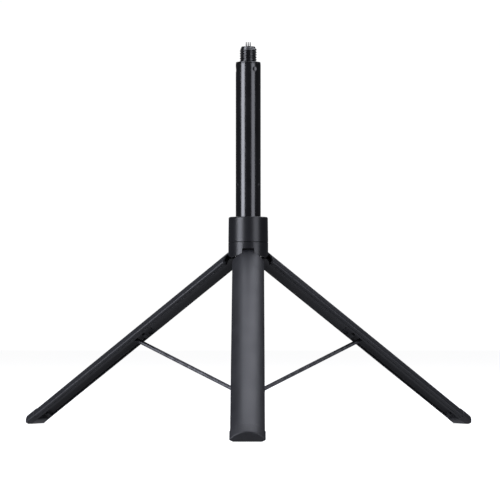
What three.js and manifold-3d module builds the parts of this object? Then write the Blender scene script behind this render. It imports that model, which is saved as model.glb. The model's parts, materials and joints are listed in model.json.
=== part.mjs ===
// Selfie stick with a fold-out tripod, standing open.
//
// A telescopic mast slides through a collar. Three legs hang on the collar and are
// spread by struts, which run from each leg down to a hub at the foot of the mast.
// Pushing the mast down through the collar folds the legs round it as a handle.
//
// Millimetres, +Z up. The origin is on the floor, in the middle of the footprint.

import * as THREE from 'three';
import { mergeVertices } from 'three/addons/utils/BufferGeometryUtils.js';
import Module from 'manifold-3d';

const wasm = await Module();
wasm.setup();

// ---------------------------------------------------------------- dimensions

// Clearance kept between pieces that touch on the real object.
const GAP = 0.3;
const HALF_TURN = Math.PI;
const DEGREE = Math.PI / 180;

// Legs: the three azimuths, counted from the front (-Y) towards +X.
const LEG_NAMES = ['front', 'right', 'left'];
const LEG_AZIMUTHS = [0, 120 * DEGREE, -120 * DEGREE];
const LEG_SECTOR = 60 * DEGREE;

// Fold linkage. A leg's own axes are n, outwards from the mast when folded, and u, down
// the leg from its hinge.
const LEG_SPREAD = 55.4 * DEGREE;
const STRUT_LEAN = 67 * DEGREE;
const HINGE_RADIUS = 16.2;
const HINGE_Z = 176.4;
const PIVOT_N = 14.5;
const PIVOT_U = 148.8;
const pivotRadius = HINGE_RADIUS + (PIVOT_N - HINGE_RADIUS) * Math.cos(LEG_SPREAD)
  + PIVOT_U * Math.sin(LEG_SPREAD);
const pivotZ = HINGE_Z + (PIVOT_N - HINGE_RADIUS) * Math.sin(LEG_SPREAD)
  - PIVOT_U * Math.cos(LEG_SPREAD);
const hubPinZ = pivotZ - (pivotRadius - PIVOT_N) / Math.tan(STRUT_LEAN);
const strutLength = (pivotRadius - PIVOT_N) / Math.sin(STRUT_LEAN);

// Mast.
const TUBE_RADIUS = 12.5;
const TUBE_WALL = 0.9;
const TUBE_TOP = 365.2;
const TUBE_BOTTOM = 42;
const NECK_HEIGHT = 8;
const SECTION_COUNT = 4;
const SECTION_STEP = 1.8;
const SECTION_WALL = 0.8;
const SHOE_HEIGHT = 12;
const SHOE_PITCH = 20;
const FIRST_SHOE_BOTTOM = 60;
const HUB_SCREW_SHANK = 1.6;
const HUB_SCREW_HEAD = 3.6;
const SHOE_PLUG = 6;
const CRIMP_Z = 242.5;
const CRIMP_AZIMUTHS = [60, 180, 300];
const RIVET_Z = 359.3;
const RIVET_AZIMUTHS = [31, 151, 271];
const DIMPLE_SPHERE = 4.5;

// Collar.
const COLLAR_RADIUS = 19.9;
const COLLAR_TOP = 211.6;
const COLLAR_SEAM = 186.5;
const COLLAR_BORE = 13;
const SKIRT_BOTTOM = 170.9;
const SLOT_WIDTH = 11.6;
const SLOT_TOP = 179.6;
const ARCH_HALF = 17.2;
const ARCH_RISE = 6.1;
const COLLAR_SCREW_RADIUS = 16.6;
const COLLAR_SCREW_SEAT = 174.5;
const COLLAR_SCREW_END = 193;
const COLLAR_SCREW_SHANK = 1;
const COLLAR_SCREW_HEAD = 1.9;

// Leg section and lengths.
const LEG_RADIUS = 19.2;
const LEG_CORNER = 1.5;
const COVER_WALL = 1.7;
const LIP_RADIUS = 15.9;
const LIP_WIDTH = 1.6;
const CRADLE_RADIUS = 12.9;
const MATING_GAP = 0.35;
const KNUCKLE_RADIUS = 2.4;
const KNUCKLE_WIDTH = 11;
const CROWN_U = 3.6;
const CROWN_CURVE = 24;
const CORE_TOP_U = 6;
const LINER_END_U = 127;
const LINER_WALL = 1.6;
const CHANNEL_HALF = 6.8;
const RIB_US = [166, 206, 246];
const RIB_THICKNESS = 2;
const COVER_END_U = 286.7;
const FOOT_TOP_U = 287;
const LEG_END_U = 300;
const TONGUE_END_U = 296;
const TONGUE_INNER = 14.2;
const TONGUE_OUTER = 16.2;
const TONGUE_ANGLE = 50 * DEGREE;
const FOOT_RADIUS = 19.8;
const FOOT_HEEL_N = 6.7;

// Strut bracket, a saddle that carries on the cradle and two cheeks round the strut.
const SADDLE_RADIUS = 15.2;
const SADDLE_TOP_U = 127.6;
const SADDLE_END_U = 137;
const SADDLE_ANGLE = 53 * DEGREE;
const BRACKET_END_U = 163;
const BRACKET_CHEEK = 6.4;
const BRACKET_SCREW_U = 132.4;
const BRACKET_SCREW_ANGLE = 44 * DEGREE;
const BRACKET_SCREW_SEAT = 14.1;
const BRACKET_SCREW_SHANK = 0.8;
const BRACKET_SCREW_HEAD = 1.6;

// Struts and their pins.
const STRUT_THICKNESS = 3.2;
const STRUT_WIDTH = 6;
const STRUT_PIN_RADIUS = 0.9;
const HINGE_PIN_RADIUS = 1.3;
const HINGE_PIN_LENGTH = 17.8;

// Hub.
const HUB_CORE_RADIUS = 10.8;
const HUB_BOTTOM = 34;
const EAR_INNER = 3.35;
const EAR_OUTER = 5.4;
const EAR_REACH = 16.4;

// Head.
const FLANGE_RADIUS = 12.4;
const FLANGE_TOP = 366.9;
const STUD_TOP = 382.5;
const THREAD_RADIUS = 8.45;
const THREAD_DEPTH = 0.85;
const THREAD_PITCH = 2.5;
const THREAD_TURNS = 5;
const RELIEF_RADIUS = 8.8;
const RELIEF_DEPTH = 0.4;
const CONTACT_TOP = 387.2;
const CONTACT_PITCH = 1.95;
const CONTACT_RADIUS = 0.6;

// ---------------------------------------------------------------- materials

const finish = (color, roughness, metalness) =>
  new THREE.MeshStandardMaterial({ color, roughness, metalness });
const ANODISED = finish(0x141518, 0.22, 0.9);
const SATIN_BLACK = finish(0x1b1c1f, 0.42, 0.0);
const CHARCOAL = finish(0x2b2c30, 0.6, 0.0);
const BLACK_NYLON = finish(0x17181a, 0.5, 0.0);
const RUBBER = finish(0x161616, 0.85, 0.0);
const DARK_STEEL = finish(0x2a2b2e, 0.4, 0.9);
const STEEL = finish(0xb9bcc2, 0.3, 1.0);

// ---------------------------------------------------------------- solid helpers

function toSolid(geometry) {
  const bare = geometry.clone();
  bare.deleteAttribute('normal');
  bare.deleteAttribute('uv');
  const merged = mergeVertices(bare, 1e-4);
  return new wasm.Manifold(new wasm.Mesh({
    numProp: 3,
    vertProperties: new Float32Array(merged.attributes.position.array),
    triVerts: new Uint32Array(merged.index.array),
  }));
}

function toGeometry(solid) {
  const mesh = solid.getMesh();
  const geometry = new THREE.BufferGeometry();
  geometry.setAttribute('position', new THREE.BufferAttribute(mesh.vertProperties, 3));
  geometry.setIndex(new THREE.BufferAttribute(mesh.triVerts, 1));
  geometry.computeVertexNormals();
  return geometry;
}

// Joins the first list of geometries and cuts the second list from them.
function carve(bodies, cutters = []) {
  let solid = toSolid(bodies[0]);
  for (const body of bodies.slice(1)) {
    solid = solid.add(toSolid(body));
  }
  for (const cutter of cutters) {
    solid = solid.subtract(toSolid(cutter));
  }
  return toGeometry(solid);
}

// Turns a closed [radius, z] outline, given anticlockwise, about the Z axis.
function turned(outline, segments = 32) {
  const points = [...outline, outline[0]].map(([radius, z]) => new THREE.Vector2(radius, z));
  return new THREE.LatheGeometry(points, segments).rotateX(HALF_TURN / 2);
}

// A plain sleeve or, with an inner radius of 0, a rod.
function sleeve(inner, outer, low, high, segments = 32) {
  return turned([[inner, low], [outer, low], [outer, high], [inner, high]], segments);
}

// A block between two corners.
function block(low, high) {
  const size = high.map((value, axis) => value - low[axis]);
  const middle = high.map((value, axis) => (value + low[axis]) / 2);
  return new THREE.BoxGeometry(...size).translate(...middle);
}

// A rod along X, centred on x = 0.
function crossRod(radius, length, y, z, segments = 16) {
  return new THREE.CylinderGeometry(radius, radius, length, segments)
    .rotateZ(HALF_TURN / 2)
    .translate(0, y, z);
}

// An outline in x and y, drawn out from z = low to z = high.
function drawn(shape, low, high, curveSegments = 12) {
  const options = { depth: high - low, bevelEnabled: false, curveSegments };
  return new THREE.ExtrudeGeometry(shape, options).translate(0, 0, low);
}

function around(geometry, azimuth) {
  return geometry.clone().rotateZ(azimuth);
}

function part(name, geometry, material) {
  const mesh = new THREE.Mesh(geometry, material);
  mesh.name = name;
  return mesh;
}

function gathered(...children) {
  const group = new THREE.Group();
  group.add(...children);
  return group;
}

// ---------------------------------------------------------------- collar

// The screws sit between the legs, opposite each leg's own azimuth.
function collarScrewRod(radius, low, high) {
  return sleeve(0, radius, low, high, 12).translate(0, COLLAR_SCREW_RADIUS, 0);
}

function collarCap() {
  const low = COLLAR_SEAM + GAP / 2;
  const chamber = 14.1;
  const lip = 1.8;
  const shell = turned([
    [chamber, low],
    [COLLAR_RADIUS, low],
    [COLLAR_RADIUS - 0.25, COLLAR_TOP - 1.2],
    [COLLAR_RADIUS - 0.7, COLLAR_TOP - 0.3],
    [COLLAR_RADIUS - 1.6, COLLAR_TOP],
    [COLLAR_BORE, COLLAR_TOP],
    [COLLAR_BORE, COLLAR_TOP - lip],
    [chamber, COLLAR_TOP - lip],
  ], 48);
  const screwHoles = LEG_AZIMUTHS.map((azimuth) => around(
    collarScrewRod(COLLAR_SCREW_SHANK + GAP, low - 1, COLLAR_SCREW_END + GAP), azimuth));
  return carve([shell], screwHoles);
}

// The cut over each leg: an arch across the leg's width, seen along its azimuth.
function archCutter() {
  const shoulder = SKIRT_BOTTOM + ARCH_RISE * 0.42;
  const shape = new THREE.Shape();
  shape.moveTo(-ARCH_HALF - 1, SKIRT_BOTTOM - 10);
  shape.lineTo(ARCH_HALF + 1, SKIRT_BOTTOM - 10);
  shape.lineTo(ARCH_HALF, SKIRT_BOTTOM);
  shape.quadraticCurveTo(ARCH_HALF / 2, shoulder, 0, SKIRT_BOTTOM + ARCH_RISE);
  shape.quadraticCurveTo(-ARCH_HALF / 2, shoulder, -ARCH_HALF, SKIRT_BOTTOM);
  return drawn(shape, 0, 30, 6).rotateX(HALF_TURN / 2);
}

function collarBody() {
  const ring = sleeve(COLLAR_BORE, COLLAR_RADIUS, SKIRT_BOTTOM, COLLAR_SEAM - GAP / 2, 48);
  const half = SLOT_WIDTH / 2;
  const below = SKIRT_BOTTOM - 5;
  const pocket = block([-half, -25, below], [half, 0, SLOT_TOP]);
  const pinHole = crossRod(
    HINGE_PIN_RADIUS + GAP, HINGE_PIN_LENGTH + 2 * GAP, -HINGE_RADIUS, HINGE_Z);
  const screwHole = collarScrewRod(COLLAR_SCREW_SHANK + GAP, below, COLLAR_SEAM + 1);
  const headHole = collarScrewRod(COLLAR_SCREW_HEAD + GAP, below, COLLAR_SCREW_SEAT + GAP);
  const cutters = [];
  for (const azimuth of LEG_AZIMUTHS) {
    for (const cutter of [pocket, archCutter(), pinHole, screwHole, headHole]) {
      cutters.push(around(cutter, azimuth));
    }
  }
  return carve([ring], cutters);
}

function collarScrew() {
  return turned([
    [0, COLLAR_SCREW_SEAT - 1.6],
    [COLLAR_SCREW_HEAD, COLLAR_SCREW_SEAT - 1.6],
    [COLLAR_SCREW_HEAD, COLLAR_SCREW_SEAT],
    [COLLAR_SCREW_SHANK, COLLAR_SCREW_SEAT],
    [COLLAR_SCREW_SHANK, COLLAR_SCREW_END],
    [0, COLLAR_SCREW_END],
  ], 12).translate(0, COLLAR_SCREW_RADIUS, 0);
}

function collarParts() {
  const bush = sleeve(
    TUBE_RADIUS + GAP, 13.8, COLLAR_SEAM + GAP / 2 + GAP, COLLAR_TOP - 2.1, 28);
  const group = gathered(
    part('collar_cap', collarCap(), SATIN_BLACK),
    part('collar_body', collarBody(), SATIN_BLACK),
    part('collar_bush', bush, BLACK_NYLON),
  );
  const pin = crossRod(HINGE_PIN_RADIUS, HINGE_PIN_LENGTH, -HINGE_RADIUS, HINGE_Z);
  LEG_NAMES.forEach((leg, index) => {
    group.add(part(`hinge_pin_${leg}`, around(pin, LEG_AZIMUTHS[index]), DARK_STEEL));
    group.add(part(`collar_screw_${index + 1}`,
      around(collarScrew(), LEG_AZIMUTHS[index]), DARK_STEEL));
  });
  return group;
}

// ---------------------------------------------------------------- mast

// A drawn tube whose mouth is rolled inwards to guide the next section.
function neckedTube(outer, wall, low, high, segments) {
  const inner = outer - wall;
  const neck = inner - 0.7;
  return turned([
    [inner, low],
    [outer, low],
    [outer, high - 0.5],
    [outer - 0.4, high],
    [neck, high],
    [neck, high - NECK_HEIGHT],
    [inner, high - NECK_HEIGHT - 1],
  ], segments);
}

function dimple(z, degrees, radius) {
  return new THREE.SphereGeometry(DIMPLE_SPHERE, 16, 12)
    .translate(0, -radius, z)
    .rotateZ(degrees * DEGREE);
}

// The crimps push the wall inwards, where they stop the first section's shoe.
function mastTube() {
  const tube = neckedTube(TUBE_RADIUS, TUBE_WALL, TUBE_BOTTOM, TUBE_TOP, 48);
  const stops = CRIMP_AZIMUTHS.map((degrees) =>
    dimple(CRIMP_Z, degrees, TUBE_RADIUS + DIMPLE_SPHERE - 1.5));
  const outside = sleeve(TUBE_RADIUS - TUBE_WALL / 2, TUBE_RADIUS + 12, 200, 362, 48);
  const inwards = stops.map((stop) => toGeometry(toSolid(stop).subtract(toSolid(outside))));
  const dents = CRIMP_AZIMUTHS.map((degrees) =>
    dimple(CRIMP_Z, degrees, TUBE_RADIUS + DIMPLE_SPHERE - 0.8));
  const rivets = RIVET_AZIMUTHS.map((degrees) =>
    dimple(RIVET_Z, degrees, TUBE_RADIUS + DIMPLE_SPHERE - 0.6));
  return carve([tube, ...inwards], [...dents, ...rivets]);
}

function hub() {
  const core = turned([
    [HUB_SCREW_SHANK + GAP, HUB_BOTTOM],
    [HUB_CORE_RADIUS - 0.8, HUB_BOTTOM],
    [HUB_CORE_RADIUS, HUB_BOTTOM + 0.8],
    [HUB_CORE_RADIUS, TUBE_BOTTOM - GAP],
    [HUB_SCREW_SHANK + GAP, TUBE_BOTTOM - GAP],
  ]);
  const bodies = [core];
  const cutters = [];
  const earHeight = 3.1;
  for (const azimuth of LEG_AZIMUTHS) {
    for (const side of [-1, 1]) {
      const edges = [side * EAR_INNER, side * EAR_OUTER].sort((a, b) => a - b);
      const low = [edges[0], -EAR_REACH, hubPinZ - earHeight];
      const high = [edges[1], -8.2, hubPinZ + earHeight];
      bodies.push(around(block(low, high), azimuth));
    }
    // The pin's seat is open downwards, so a strut can be hooked in from below.
    const seat = block([-7, -PIVOT_N - 1.2, hubPinZ - 6], [7, -PIVOT_N + 1.8, hubPinZ + 1.2]);
    cutters.push(around(seat, azimuth));
  }
  return carve(bodies, cutters);
}

function mastParts() {
  const plugRadius = TUBE_RADIUS - TUBE_WALL - GAP;
  const plug = turned([
    [HUB_SCREW_SHANK + GAP, TUBE_BOTTOM + GAP],
    [plugRadius, TUBE_BOTTOM + GAP],
    [plugRadius, FIRST_SHOE_BOTTOM - 2],
    [HUB_SCREW_SHANK + GAP, FIRST_SHOE_BOTTOM - 2],
  ], 24);
  const screw = turned([
    [0, HUB_BOTTOM - 2.4],
    [HUB_SCREW_HEAD - 0.6, HUB_BOTTOM - 2.4],
    [HUB_SCREW_HEAD, HUB_BOTTOM - 1.8],
    [HUB_SCREW_HEAD, HUB_BOTTOM - GAP],
    [HUB_SCREW_SHANK, HUB_BOTTOM - GAP],
    [HUB_SCREW_SHANK, FIRST_SHOE_BOTTOM - 4],
    [0, FIRST_SHOE_BOTTOM - 4],
  ], 16);
  return gathered(
    part('mast_tube', mastTube(), ANODISED),
    part('mast_plug', plug, BLACK_NYLON),
    part('strut_hub', hub(), BLACK_NYLON),
    part('hub_screw', screw, DARK_STEEL),
  );
}

// Section 1 is the widest. Each one's shoe slides in the tube outside it.
function sectionParts(number) {
  const outer = TUBE_RADIUS - TUBE_WALL - 1 - (number - 1) * SECTION_STEP;
  const inner = outer - SECTION_WALL;
  const shoeRadius = outer + 1 - GAP;
  const shoeBottom = FIRST_SHOE_BOTTOM + (number - 1) * SHOE_PITCH;
  const shoeTop = shoeBottom + SHOE_HEIGHT;
  const plugInner = inner - GAP - 1.2;
  const shoe = turned([
    [plugInner, shoeBottom],
    [shoeRadius - 0.4, shoeBottom],
    [shoeRadius, shoeBottom + 0.6],
    [shoeRadius, shoeTop],
    [inner - GAP, shoeTop],
    [inner - GAP, shoeTop + SHOE_PLUG],
    [plugInner, shoeTop + SHOE_PLUG],
  ], 24);
  const last = number === SECTION_COUNT;
  const tube = last
    ? sleeve(inner, outer, shoeTop + GAP, TUBE_TOP, 24)
    : neckedTube(outer, SECTION_WALL, shoeTop + GAP, TUBE_TOP, 24);
  return gathered(
    part(`mast_section_${number}`, tube, ANODISED),
    part(`section_shoe_${number}`, shoe, BLACK_NYLON),
  );
}

// ---------------------------------------------------------------- head

function headStud(tailRadius) {
  const root = THREAD_RADIUS - THREAD_DEPTH;
  const outline = [
    [0, TUBE_TOP - 14],
    [tailRadius, TUBE_TOP - 14],
    [tailRadius, TUBE_TOP + GAP],
    [FLANGE_RADIUS, TUBE_TOP + GAP],
    [FLANGE_RADIUS, FLANGE_TOP - 0.7],
    [FLANGE_RADIUS - 0.7, FLANGE_TOP],
    [RELIEF_RADIUS, FLANGE_TOP],
    [RELIEF_RADIUS, FLANGE_TOP - RELIEF_DEPTH],
    [root, FLANGE_TOP - RELIEF_DEPTH],
  ];
  for (let turn = 0; turn < THREAD_TURNS; turn += 1) {
    const foot = FLANGE_TOP + 0.5 + turn * THREAD_PITCH;
    outline.push([root, foot]);
    outline.push([THREAD_RADIUS, foot + 0.7]);
    outline.push([THREAD_RADIUS, foot + 1.3]);
    outline.push([root, foot + 2.0]);
  }
  outline.push([root - 0.1, STUD_TOP - 1.4]);
  outline.push([root - 0.7, STUD_TOP]);
  outline.push([5.6, STUD_TOP]);
  outline.push([5.6, FLANGE_TOP + 3]);
  outline.push([0, FLANGE_TOP + 3]);
  return turned(outline, 28);
}

function contactX(index) {
  return (index - 1) * CONTACT_PITCH;
}

function headParts(tailRadius) {
  const contactFoot = FLANGE_TOP + 6;
  const blockBody = sleeve(0, 5.3, FLANGE_TOP + 3 + GAP, STUD_TOP - 0.4, 32);
  const holes = [0, 1, 2].map((index) =>
    sleeve(0, CONTACT_RADIUS + 0.25, contactFoot - GAP, STUD_TOP + 2, 12)
      .translate(contactX(index), 0, 0));
  const pin = turned([
    [0, contactFoot],
    [CONTACT_RADIUS, contactFoot],
    [CONTACT_RADIUS, CONTACT_TOP - 0.35],
    [CONTACT_RADIUS - 0.3, CONTACT_TOP],
    [0, CONTACT_TOP],
  ], 12);
  const group = gathered(
    part('head_stud', headStud(tailRadius), ANODISED),
    part('contact_block', carve([blockBody], holes), BLACK_NYLON),
  );
  for (const index of [0, 1, 2]) {
    const placed = pin.clone().translate(contactX(index), 0, 0);
    group.add(part(`contact_pin_${index + 1}`, placed, STEEL));
  }
  return group;
}

// ---------------------------------------------------------------- legs

// Leg pieces are drawn hanging from the hinge: x across, y = HINGE_RADIUS - n, z = -u.

// A point at a radius from the folded mast axis and an angle from the leg's middle.
function onArc(radius, angle) {
  return [radius * Math.sin(angle), HINGE_RADIUS - radius * Math.cos(angle)];
}

// The angle at which the leg's side face meets a radius, kept clear of the next leg.
function sideAngle(radius) {
  return LEG_SECTOR - Math.asin(MATING_GAP / radius);
}

function arcPoints(radius, from, to, steps) {
  const points = [];
  for (let step = 0; step <= steps; step += 1) {
    points.push(onArc(radius, from + (to - from) * step / steps));
  }
  return points;
}

function closedShape(points) {
  return new THREE.Shape(points.map(([x, y]) => new THREE.Vector2(x, y)));
}

// The right half of an outline, mirrored to the left to close it.
function mirroredShape(half) {
  const mirrored = half.map(([x, y]) => [-x, y]).reverse();
  return closedShape([...half, ...mirrored]);
}

// Outer skin with rounded corners, whose edges turn in as lips.
function coverShape() {
  const inner = LEG_RADIUS - COVER_WALL;
  const corner = onArc(LEG_RADIUS, sideAngle(LEG_RADIUS));
  const lip = onArc(LIP_RADIUS, sideAngle(LIP_RADIUS));
  const lipTurn = LIP_WIDTH / LIP_RADIUS;
  const cornerTurn = LEG_CORNER / LEG_RADIUS;
  const down = [lip[0] - corner[0], lip[1] - corner[1]];
  const downLength = Math.hypot(...down);
  const below = [0, 1].map((axis) => corner[axis] + down[axis] * LEG_CORNER / downLength);
  const before = onArc(LEG_RADIUS, sideAngle(LEG_RADIUS) - cornerTurn);
  const rounded = new THREE.QuadraticBezierCurve(
    new THREE.Vector2(...before), new THREE.Vector2(...corner), new THREE.Vector2(...below));
  const half = [
    ...arcPoints(LEG_RADIUS, 6 * DEGREE, sideAngle(LEG_RADIUS) - cornerTurn, 7),
    ...rounded.getPoints(4).slice(1).map((point) => [point.x, point.y]),
    lip,
    onArc(LIP_RADIUS, sideAngle(LIP_RADIUS) - lipTurn),
    ...arcPoints(inner, sideAngle(inner) - lipTurn, 6 * DEGREE, 6),
  ];
  return mirroredShape(half);
}

// Rounds a leg's top from a depth below the hinge, so it clears the collar's arch as it swings.
function crownCutter(top) {
  const crown = new THREE.Shape();
  const reach = 20;
  crown.moveTo(reach, 5);
  crown.lineTo(-reach, 5);
  for (let step = 0; step <= 12; step += 1) {
    const x = -reach + 2 * reach * step / 12;
    crown.lineTo(x, -top - x * x / (2 * CROWN_CURVE));
  }
  return drawn(crown, -25, 25).rotateX(HALF_TURN / 2);
}

function legCover() {
  const skin = drawn(coverShape(), -COVER_END_U, 0);
  const half = KNUCKLE_WIDTH / 2;
  const tab = block([-half, -2.4, -9], [half, -0.2, 0]);
  const web = block([-half, -2.4, -5], [half, 1.6, 0]);
  const knuckle = crossRod(KNUCKLE_RADIUS, KNUCKLE_WIDTH, 0, 0, 24);
  const pinHole = crossRod(HINGE_PIN_RADIUS + GAP, KNUCKLE_WIDTH + 2, 0, 0);
  const trimmed = carve([skin], [crownCutter(CROWN_U)]);
  return carve([trimmed, tab, web, knuckle], [pinHole]);
}

// One side rail of the inner moulding, stepped to sit behind the cover's lip.
function railShape(side) {
  const outer = LEG_RADIUS - COVER_WALL - GAP;
  const shelf = LIP_RADIUS - GAP;
  const lipTurn = (LIP_WIDTH + GAP) / LIP_RADIUS;
  const innerAngle = Math.asin(CHANNEL_HALF / CRADLE_RADIUS);
  const outerAngle = Math.asin(CHANNEL_HALF / outer);
  const points = [
    ...arcPoints(CRADLE_RADIUS, innerAngle, sideAngle(CRADLE_RADIUS), 4),
    onArc(shelf, sideAngle(shelf)),
    onArc(shelf, sideAngle(shelf) - lipTurn),
    ...arcPoints(outer, sideAngle(outer) - lipTurn, outerAngle, 3),
  ];
  return closedShape(points.map(([x, y]) => [side * x, y]));
}

// A band between two radii, out to the same angle on both sides.
function bandShape(inner, outer, angle) {
  return closedShape([
    ...arcPoints(inner, -angle, angle, 8),
    ...arcPoints(outer, angle, -angle, 8),
  ]);
}

// A rod at the bracket screws, pointing outwards from the folded mast axis.
function outwardRod(radius, low, high, angle) {
  return new THREE.CylinderGeometry(radius, radius, high - low, 12)
    .translate(0, -(high + low) / 2, 0)
    .rotateZ(angle)
    .translate(0, HINGE_RADIUS, -BRACKET_SCREW_U);
}

function legCore() {
  const outer = LEG_RADIUS - COVER_WALL - GAP;
  const bridgeAngle = Math.asin((CHANNEL_HALF + 0.5) / CRADLE_RADIUS);
  const ribAngle = Math.asin((CHANNEL_HALF + 0.5) / outer);
  const liner = bandShape(CRADLE_RADIUS, CRADLE_RADIUS + LINER_WALL, bridgeAngle);
  const rib = bandShape(outer - 0.8, outer, ribAngle);
  const rails = [-1, 1].map((side) => drawn(railShape(side), -COVER_END_U, -CORE_TOP_U));
  const tongue = drawn(bandShape(TONGUE_INNER, TONGUE_OUTER, TONGUE_ANGLE),
    -TONGUE_END_U, -COVER_END_U + 0.4);
  const bodies = [
    ...rails,
    drawn(liner, -LINER_END_U, -CORE_TOP_U),
    ...RIB_US.map((u) => drawn(rib, -u - RIB_THICKNESS, -u)),
    tongue,
  ];
  const pocket = drawn(
    bandShape(CRADLE_RADIUS - 2, SADDLE_RADIUS + GAP, SADDLE_ANGLE + 1.5 * DEGREE),
    -SADDLE_END_U - GAP, -SADDLE_TOP_U + GAP);
  const screwHoles = [-1, 1].map((side) => outwardRod(
    BRACKET_SCREW_SHANK + GAP, SADDLE_RADIUS, outer - 0.3, side * BRACKET_SCREW_ANGLE));
  return carve(bodies, [crownCutter(CORE_TOP_U), pocket, ...screwHoles]);
}

function strutBracket() {
  const slot = STRUT_WIDTH / 2 + 0.45;
  const outer = LEG_RADIUS - COVER_WALL - GAP;
  const saddle = drawn(bandShape(CRADLE_RADIUS, SADDLE_RADIUS, SADDLE_ANGLE),
    -SADDLE_END_U, -SADDLE_TOP_U);
  const cheeks = drawn(bandShape(CRADLE_RADIUS + GAP, outer, Math.asin(BRACKET_CHEEK / outer)),
    -BRACKET_END_U, -SADDLE_END_U + 2);
  const strutSlot = block([-slot, HINGE_RADIUS - 16.5, -BRACKET_END_U - 1],
    [slot, HINGE_RADIUS, -SADDLE_END_U]);
  const pinHole = crossRod(STRUT_PIN_RADIUS + GAP, 2 * BRACKET_CHEEK + 2,
    HINGE_RADIUS - PIVOT_N, -PIVOT_U);
  const cutters = [strutSlot, pinHole];
  for (const side of [-1, 1]) {
    const angle = side * BRACKET_SCREW_ANGLE;
    cutters.push(outwardRod(BRACKET_SCREW_SHANK + GAP, 12, outer, angle));
    cutters.push(outwardRod(BRACKET_SCREW_HEAD + GAP, 12, BRACKET_SCREW_SEAT, angle));
  }
  return carve([saddle, cheeks], cutters);
}

function bracketScrew(side) {
  const headOuter = BRACKET_SCREW_SEAT - GAP;
  const angle = side * BRACKET_SCREW_ANGLE;
  return carve([
    outwardRod(BRACKET_SCREW_HEAD, headOuter - 0.8, headOuter, angle),
    outwardRod(BRACKET_SCREW_SHANK, headOuter - 0.4, 16.6, angle),
  ]);
}

// A cap over the leg's end, filled in behind and cut level for the open leg.
function foot() {
  const outerArc = arcPoints(
    FOOT_RADIUS, -sideAngle(FOOT_RADIUS), sideAngle(FOOT_RADIUS), 16);
  const inner = CRADLE_RADIUS + 0.1;
  const rim = closedShape([
    ...outerArc, ...arcPoints(inner, sideAngle(inner), -sideAngle(inner), 10)]);
  const heel = HINGE_RADIUS - FOOT_HEEL_N;
  const heelHalf = onArc(inner, sideAngle(inner))[0];
  const filled = closedShape([...outerArc, [heelHalf, heel], [-heelHalf, heel]]);
  const socket = drawn(
    bandShape(TONGUE_INNER - GAP, TONGUE_OUTER + GAP, TONGUE_ANGLE + 1.5 * DEGREE),
    -TONGUE_END_U - GAP, -FOOT_TOP_U + 1);
  const floor = block([-40, -400, -80], [40, -100, 0])
    .translate(0, HINGE_RADIUS, -HINGE_Z)
    .rotateX(LEG_SPREAD);
  return carve(
    [drawn(rim, -LEG_END_U, -FOOT_TOP_U), drawn(filled, -LEG_END_U, -FOOT_TOP_U - 2)],
    [socket, floor]);
}

function legParts(leg) {
  const bracketPin = crossRod(STRUT_PIN_RADIUS, 2 * BRACKET_CHEEK,
    HINGE_RADIUS - PIVOT_N, -PIVOT_U, 12);
  return gathered(
    part(`leg_cover_${leg}`, legCover(), CHARCOAL),
    part(`leg_core_${leg}`, legCore(), BLACK_NYLON),
    part(`foot_${leg}`, foot(), RUBBER),
    part(`strut_bracket_${leg}`, strutBracket(), DARK_STEEL),
    part(`bracket_screw_${leg}_a`, bracketScrew(-1), DARK_STEEL),
    part(`bracket_screw_${leg}_b`, bracketScrew(1), DARK_STEEL),
    part(`strut_pin_${leg}`, bracketPin, DARK_STEEL),
  );
}

// ---------------------------------------------------------------- struts

// Drawn hanging from the pin in the leg: width across x, thickness along y.
function strutBar() {
  const radius = STRUT_THICKNESS / 2;
  const outline = new THREE.Shape();
  outline.absarc(0, 0, radius, 0, HALF_TURN, false);
  outline.absarc(0, -strutLength, radius, HALF_TURN, 2 * HALF_TURN, false);
  const bar = drawn(outline, -STRUT_WIDTH / 2, STRUT_WIDTH / 2, 8)
    .rotateY(HALF_TURN / 2)
    .rotateX(HALF_TURN / 2);
  const holes = [0, -strutLength].map((z) =>
    crossRod(STRUT_PIN_RADIUS + 0.25, STRUT_WIDTH + 2, 0, z, 12));
  return carve([bar], holes);
}

function strutParts(leg) {
  const hubPin = crossRod(STRUT_PIN_RADIUS, 2 * EAR_OUTER, 0, -strutLength, 12);
  return gathered(
    part(`strut_${leg}`, strutBar(), DARK_STEEL),
    part(`hub_pin_${leg}`, hubPin, DARK_STEEL),
  );
}

// ---------------------------------------------------------------- assembly

const stand = new THREE.Group();
stand.add(collarParts());
stand.add(mastParts());
for (let number = 1; number <= SECTION_COUNT; number += 1) {
  stand.add(sectionParts(number));
}
const lastInner = TUBE_RADIUS - TUBE_WALL - 1 - (SECTION_COUNT - 1) * SECTION_STEP - SECTION_WALL;
stand.add(headParts(lastInner - GAP));

LEG_NAMES.forEach((leg, index) => {
  const legGroup = legParts(leg);
  legGroup.position.set(0, -HINGE_RADIUS, HINGE_Z);
  legGroup.rotation.x = -LEG_SPREAD;
  const strutGroup = strutParts(leg);
  strutGroup.position.set(0, -pivotRadius, pivotZ);
  strutGroup.rotation.x = STRUT_LEAN;
  const side = gathered(legGroup, strutGroup);
  side.rotation.z = LEG_AZIMUTHS[index];
  stand.add(side);
});

// The legs' footprint is centred on the origin, which leaves the mast a little behind it.
const footprint = new THREE.Box3().setFromObject(stand, true);
stand.position.y = -(footprint.min.y + footprint.max.y) / 2;

export default stand;
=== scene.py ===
"""Looks of the selfie stick with a fold-out tripod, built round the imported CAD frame.

Every CAD node is replaced by a finer piece that rides on the same body.
Shapes are written in millimetres in local frames: the mast's own frame has its origin on the
floor under the mast, and a leg's hangs from its hinge with x across, y = hinge radius - n
(n is outwards from the folded mast) and z = -u (u is down the leg).
"""

import json
import math

import bmesh
import bpy
from mathutils import Matrix, Vector
from mathutils.geometry import tessellate_polygon


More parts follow.
